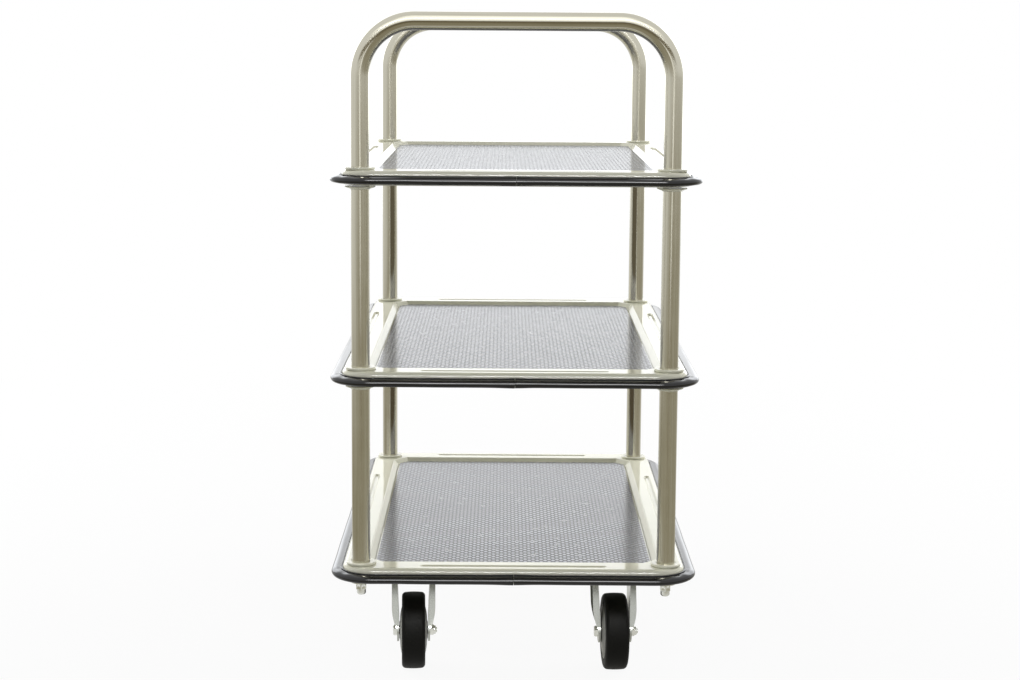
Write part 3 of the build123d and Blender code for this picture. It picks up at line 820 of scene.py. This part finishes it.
def core_section():
    """The core's outline as (place across, radius): hub, convex faces and a raised rim."""
    face = HUB_RADIUS + HUB_FILLET
    rim = CORE_RADIUS - RIM_WIDTH
    right = [(HUB_HALF, SLEEVE_RADIUS), (HUB_HALF, HUB_RADIUS - MM), (HUB_HALF - MM / 2, HUB_RADIUS)]
    for step in range(FACE_STEPS + 1):
        share = step / FACE_STEPS
        right.append((FACE_HALF + FACE_RISE * (1 - share ** 2), face + (rim - face) * share))
    right += [(FACE_HALF - MM / 2, rim + MM / 3), (RIM_HALF - MM / 2, rim + MM / 2), (RIM_HALF, rim + MM),
              (RIM_HALF, CORE_RADIUS - MM), (RIM_HALF - MM, CORE_RADIUS)]
    return right + [(-place, radius) for place, radius in reversed(right)]


def make_wheel(corner, finishes):
    """A moulded rubber tyre on a grey core."""
    body = f"{corner}_wheel"
    for name, section, slot, node in (
        (f"{corner}_rubber_tyre", tyre_section(), "tyre_rubber", f"{corner}_tyre"),
        (f"{corner}_moulded_core", core_section(), "core_plastic", f"{corner}_wheel_core"),
    ):
        points, faces = on_axle(spun(section, True, WHEEL_STEPS), corner)
        new_piece(name, new_mesh(name, points, faces), finishes[slot], slot, node, body=body)


LEG_OUTER = 22 * MM
AXLE_RADIUS = 4 * MM
AXLE_END = 31.5 * MM
HEX_ACROSS = 13 * MM
HEX_CORNER = HEX_ACROSS / math.sqrt(3)
HEX_CHAMFER = 1.1 * MM
HEX_FACE = 0.47 * HEX_ACROSS
HEAD_HEIGHT = 5.3 * MM
LOCK_NUT_HEX = 5.5 * MM
LOCK_NUT_HEIGHT = 8 * MM
LOCK_NUT_COLLAR = 5.8 * MM
LOCK_NUT_STEP = 0.2 * MM
LOCK_NUT_ROUND = 1.6 * MM
THREAD_PITCH = 1.25 * MM
THREAD_DEPTH = 0.5 * MM
BORE_ROOM = 0.05 * MM
HEX_STEPS = 48


def axle_bolt():
    """A hexagon bolt along the X axis with its head on the left and a thread at its other end."""
    head = -LEG_OUTER - HEAD_HEIGHT
    levels = [(head, HEX_FACE), (head + HEX_CHAMFER, HEX_CORNER),
              (-LEG_OUTER, HEX_CORNER), (-LEG_OUTER, AXLE_RADIUS)]
    place = LEG_OUTER + LOCK_NUT_HEX
    while place + THREAD_PITCH < AXLE_END:
        levels += [(place, AXLE_RADIUS), (place + THREAD_PITCH / 2, AXLE_RADIUS - THREAD_DEPTH)]
        place += THREAD_PITCH
    levels += [(AXLE_END - THREAD_PITCH / 2, AXLE_RADIUS - THREAD_DEPTH / 2),
               (AXLE_END, AXLE_RADIUS - 2 * THREAD_DEPTH)]
    return spun(levels, False, HEX_STEPS, HEX_ACROSS)


def axle_nut():
    """A lock nut along the X axis: a chamfered hexagon with a rounded collar."""
    seat = LEG_OUTER
    end = seat + LOCK_NUT_HEIGHT
    bore = AXLE_RADIUS + BORE_ROOM
    shoulder = seat + LOCK_NUT_HEX
    levels = [(seat, bore), (seat, HEX_CORNER), (shoulder - HEX_CHAMFER, HEX_CORNER),
              (shoulder, LOCK_NUT_COLLAR + LOCK_NUT_STEP), (shoulder, LOCK_NUT_COLLAR)]
    levels += arc((end - LOCK_NUT_ROUND, LOCK_NUT_COLLAR - LOCK_NUT_ROUND), LOCK_NUT_ROUND, 90, 0, 6)
    levels += [(end, bore)]
    return spun(levels, True, HEX_STEPS, HEX_ACROSS)


def make_axles(finish):
    """The axle bolts and nuts of the front forks and of the rear brackets."""
    for part, shape in (("bolt", axle_bolt()), ("nut", axle_nut())):
        for corner in CORNERS[:2]:
            points, faces = on_axle(shape, corner)
            name = f"{corner}_hex_{part}"
            new_piece(name, new_mesh(name, points, faces), finish, "zinc_fastener", f"{corner}_axle_{part}",
                      body=f"{corner}_fork")
        points, faces = joined([on_axle(shape, corner) for corner in CORNERS[2:]])
        name = f"rear_hex_{part}s"
        new_piece(name, new_mesh(name, points, faces), finish, "zinc_fastener", f"rear_axle_{part}s")


CAP_NUT_HEX = 8 * MM
CAP_NUT_BORE = 11 * MM
CAP_ROUND = 3.2 * MM
DOME_RADIUS = 6.1 * MM
ROD_RADIUS = 4 * MM


def make_cap_nuts(finish):
    """Domed nuts on the tie rods under the bottom deck."""
    low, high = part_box("cap_nuts")
    post_low, post_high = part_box("upper_post_front_left")
    height = high.z - low.z
    bore = ROD_RADIUS + BORE_ROOM
    levels = [(CAP_NUT_BORE, bore), (0, bore), (0, HEX_FACE), (HEX_CHAMFER, HEX_CORNER),
              (CAP_NUT_HEX - HEX_CHAMFER / 2, HEX_CORNER), (CAP_NUT_HEX, DOME_RADIUS)]
    levels += arc((height - CAP_ROUND, DOME_RADIUS - CAP_ROUND), CAP_ROUND, 90, 10, 8)
    levels += [(height, DOME_RADIUS - CAP_ROUND)]
    points, faces = spun(levels, False, HEX_STEPS, HEX_ACROSS)
    shapes = []
    for side_x in (-1, 1):
        for side_y in (-1, 1):
            x = side_x * (post_low.x + post_high.x) / 2
            y = side_y * (post_low.y + post_high.y) / 2
            placed = [(x + across, y + along, high.z - depth) for depth, across, along in points]
            shapes.append((placed, faces))
    mesh = new_mesh("domed_cap_nuts", *joined(shapes))
    new_piece("domed_cap_nuts", mesh, finish, "zinc_fastener", "cap_nuts")


# Studio

WHITE = (1, 1, 1, 1)
FLOOR_HALF = 40.0
FLOOR_CARD_LIFT = 2 * MM
FLOOR_GREY = (0.62, 0.62, 0.62, 1)
# Tints of the painted floor reflection that the metal shows
OLIVE = (0.36, 0.33, 0.24, 1)
PALE = (0.94, 0.94, 0.93, 1)
EVEN_LIGHT = 0.32

# The floor is plain white from the far distance on, and by this share at the near one
SHADOW_NEAR = 0.6
SHADOW_FAR = 2.2
SHADOW_WHITE = 0.93

# Cards that only reflections show, the bright ones painting highlights and the dark ones painted shade into
# them: name, left and right, near and far edge as (y, z), tint, strength, share of the soft border, and
# whether the front alone glows
CARDS = (
    # Dark card: painted shade in the floor's reflection in front of the cart
    ("aisle_shade_card", (-0.6, 0.6), (-9, 0.004), (-0.9, 0.004), (0.24, 0.2, 0.13, 1), 1.0, 0.35, False),
    ("streak_card", (-0.45, 0.45), (-3.5, 0.05), (-3.5, 0.85), WHITE, 1.4, 0.25, False),
    ("front_scrim", (-1.0, 1.1), (-3.5, 1.25), (-3.5, 2.75), WHITE, 1.8, 0.2, False),
    ("roof_scrim", (-1.3, 1.3), (-3.5, 2.4), (-1.7, 4.05), WHITE, 1.8, 0.2, False),
    ("back_scrim", (-3, 3), (3.2, 0.5), (3.2, 3.0), (0.97, 0.985, 1, 1), 1.9, 0.15, False),
    ("side_scrim", (-0.7, -3), (3, 0.2), (3, 2.4), (0.95, 0.97, 1, 1), 3.0, 0.15, False),
    ("side_scrim", (0.7, 3), (3, 0.2), (3, 2.4), (0.95, 0.97, 1, 1), 3.0, 0.15, False),
    ("highlight_card", (-1.2, 1.2), (-2.9, 2.2), (-2.5, 2.68), WHITE, 25.0, 0.25, False),
    # Dark cards: painted shade in reflections, inside the cart between the decks and over the top deck's
    # bumper
    ("inside_shade_card", (0.2, -0.2), (0.25, 0.18), (0.25, 0.39), (0.12, 0.1, 0.07, 1), 1.0, 0.04, True),
    ("inside_shade_card", (0.2, -0.2), (0.25, 0.44), (0.25, 0.65), (0.17, 0.15, 0.11, 1), 1.0, 0.04, True),
    ("canopy_shade_card", (-0.18, 0.18), (-0.25, 0.72), (-0.34, 0.72), (0.13, 0.12, 0.1, 1), 1.0, 0.1, True),
    ("bar_card", (-0.3, 0.3), (-0.433, 0.915), (-0.408, 0.948), WHITE, 1.8, 0.1, False),
    # Dark card: a painted shade band in the crossbar's reflection
    ("bar_shade_flag", (-0.3, 0.3), (-0.425, 0.822), (-0.425, 0.862), (0.2, 0.17, 0.11, 1), 1.0, 0.1, False),
)

# Area lamps that neither the camera nor a reflection shows: name, place, target, width, height and power
LAMPS = (
    ("front_softbox", (0, -2.75, 2.45), (0, -0.35, 0.45), 2.4, 0.6, 14),
    ("top_softbox", (0, 0, 3.2), (0, 0, 0.4), 2.4, 2.2, 16),
    ("left_softbox", (-2.1, 1.3, 1.1), (0, 0, 0.4), 2.4, 1.8, 66),
    ("right_softbox", (2.1, 1.3, 1.1), (0, 0, 0.4), 2.4, 1.8, 66),
)


def seen_rays(tree):
    """One for the rays that show a backdrop: from the camera, by mirror or through glass."""
    path = add(tree, "LightPath")
    seen = maths(tree, "MAXIMUM", path.outputs["Is Camera Ray"], path.outputs["Is Glossy Ray"])
    return maths(tree, "MAXIMUM", seen, path.outputs["Is Transmission Ray"])


def sheet_object(name, points, material, faces=((0, 1, 2, 3),)):
    """A flat stage object."""
    mesh = bpy.data.meshes.new(name)
    mesh.from_pydata(points, [], faces)
    mesh.materials.append(material)
    sheet = bpy.data.objects.new(name, mesh)
    SCENE.collection.objects.link(sheet)
    return sheet


def bare_material(name):
    """A node material with only its output left: itself, its tree and its surface socket."""
    material = bpy.data.materials.new(name)
    material.use_nodes = True
    tree = material.node_tree
    tree.nodes.remove(tree.nodes["Principled BSDF"])
    return material, tree, tree.nodes["Material Output"].inputs["Surface"]


def floor_sheet(height):
    """The corners of a square level sheet as wide as the floor."""
    sides = ((-1, -1), (1, -1), (1, 1), (-1, 1))
    return [(x * FLOOR_HALF, y * FLOOR_HALF, height) for x, y in sides]


def make_floor():
    """A pale floor: white to the camera and in mirrors, with a faint shadow of the cart."""
    material, tree, surface = bare_material("floor")
    away = vector_length(tree, add(tree, "TexCoord").outputs["Object"])
    share = spread(tree, away, SHADOW_WHITE, 1.0, SHADOW_NEAR, SHADOW_FAR)
    lit = add(tree, "BsdfDiffuse", Color=FLOOR_GREY)
    white = add(tree, "Emission", Color=WHITE, Strength=1.0)
    mix = add(tree, "MixShader")
    put(tree, mix.inputs[0], maths(tree, "MULTIPLY", seen_rays(tree), share))
    put(tree, mix.inputs[1], lit.outputs[0])
    put(tree, mix.inputs[2], white.outputs[0])
    put(tree, surface, mix.outputs[0])
    sheet_object("floor", floor_sheet(0), material)


def make_world():
    """White behind everything seen or mirrored, and a softer even light on the rest."""
    world = bpy.data.worlds.new("studio")
    world.use_nodes = True
    SCENE.world = world
    tree = world.node_tree
    background = tree.nodes["Background"]
    put(tree, background.inputs["Strength"], spread(tree, seen_rays(tree), EVEN_LIGHT, 1.0, 0.0, 1.0))
    background.inputs["Color"].default_value = WHITE


def mirror_only(card):
    """Leaves a card to be seen in reflections alone."""
    card.visible_camera = False
    card.visible_diffuse = False
    card.visible_transmission = False
    card.visible_volume_scatter = False
    card.visible_shadow = False


def plain_card(name, sides, near, far, tint, strength, soft, one_sided):
    """A glowing card of one tint that only reflections show, fading out over a soft border."""
    material, tree, surface = bare_material(name)
    glow = add(tree, "Emission", Color=tint, Strength=strength)
    fade = attribute(tree, "fade", "Fac")
    if one_sided:
        away = add(tree, "NewGeometry").outputs["Backfacing"]
        fade = maths(tree, "MULTIPLY", fade, maths(tree, "SUBTRACT", 1.0, away))
    mix = add(tree, "MixShader")
    put(tree, mix.inputs[0], fade)
    put(tree, mix.inputs[1], add(tree, "BsdfTransparent").outputs[0])
    put(tree, mix.inputs[2], glow.outputs[0])
    put(tree, surface, mix.outputs[0])
    near_left, near_right = [Vector((x, *near)) for x in sides]
    far_left, far_right = [Vector((x, *far)) for x in sides]
    shares = (0.0, soft, 1 - soft, 1.0)
    rows = [(near_left.lerp(far_left, v), near_right.lerp(far_right, v)) for v in shares]
    points = [left.lerp(right, u) for left, right in rows for u in shares]
    faces = [(k, k + 1, k + 5, k + 4) for k in (0, 1, 2, 4, 5, 6, 8, 9, 10)]
    card = sheet_object(name, points, material, faces)
    inside = [float(u in shares[1:3] and v in shares[1:3]) for v in shares for u in shares]
    card.data.attributes.new("fade", "FLOAT", "POINT").data.foreach_set("value", inside)
    mirror_only(card)


def floor_card():
    """A sheet that only reflections show, painting olive floor reflections into the metal: pale far off,
    behind, close round the cart and on the left, with soft rays.
    """
    material, tree, surface = bare_material("floor_card")
    place = add(tree, "TexCoord").outputs["Object"]
    away = vector_length(tree, place)
    unit = add(tree, "VectorMath", {"operation": "NORMALIZE"})
    put(tree, unit.inputs[0], place)
    heading = unit.outputs["Vector"]
    parts = add(tree, "SeparateXYZ", Vector=heading)
    across = parts.outputs["X"]
    behind = spread(tree, parts.outputs["Y"], low=0.0, high=0.85, start=0.2, stop=0.8)
    leftward = spread(tree, across, low=0.85, high=0.0, start=-1.0, stop=-0.35)
    left = maths(tree, "MULTIPLY", leftward, spread(tree, away, low=0.0, high=1.0, start=1.3, stop=4.5))
    right = spread(tree, across, low=0.0, high=0.1, start=0.0, stop=1.0)
    far = spread(tree, away, low=0.0, high=0.3, start=4.5, stop=18.0)
    rays = spread(tree, noise(tree, heading, 5.0, 3.0), low=-0.08, high=0.12)
    under = spread(tree, away, low=1.0, high=0.0, start=0.62, stop=0.85)
    near = maths(tree, "MULTIPLY", under, spread(tree, across, low=0.9, high=0.4, start=-1.0, stop=1.0))
    tone = maths(tree, "ADD", maths(tree, "ADD", left, right), maths(tree, "ADD", far, rays))
    tone = maths(tree, "ADD", tone, maths(tree, "MAXIMUM", near, behind))
    glow = add(tree, "Emission", Color=mixed(tree, tone, OLIVE, PALE), Strength=1.0)
    put(tree, surface, glow.outputs[0])
    mirror_only(sheet_object("floor_card", floor_sheet(FLOOR_CARD_LIFT), material))


def softbox(name, place, target, width, height, power):
    """A rectangular area lamp aimed at a point, hidden from the camera and from reflections."""
    data = bpy.data.lights.new(name, "AREA")
    data.shape = "RECTANGLE"
    data.size = width
    data.size_y = height
    data.energy = power
    lamp = bpy.data.objects.new(name, data)
    lamp.location = place
    lamp.rotation_euler = (Vector(target) - Vector(place)).to_track_quat("-Z", "Y").to_euler()
    lamp.visible_camera = False
    lamp.visible_glossy = False
    SCENE.collection.objects.link(lamp)


def make_studio():
    """Floor, surroundings, reflection cards and lamps."""
    make_floor()
    make_world()
    floor_card()
    for card in CARDS:
        plain_card(*card)
    for lamp in LAMPS:
        softbox(*lamp)


make_camera()
make_studio()
finishes = make_finishes()
finish_nodes(finishes)
for tier in TIERS:
    make_mat(tier, finishes["grey_mat"])
    make_bumper(tier, finishes["black_bumper"])
    make_collars(tier, finishes["ivory_paint"])
for end in ("front", "rear"):
    make_handle(end, finishes["handle_steel"])
for corner in CORNERS:
    make_wheel(corner, finishes)
make_axles(finishes["zinc_fastener"])
make_cap_nuts(finishes["zinc_fastener"])
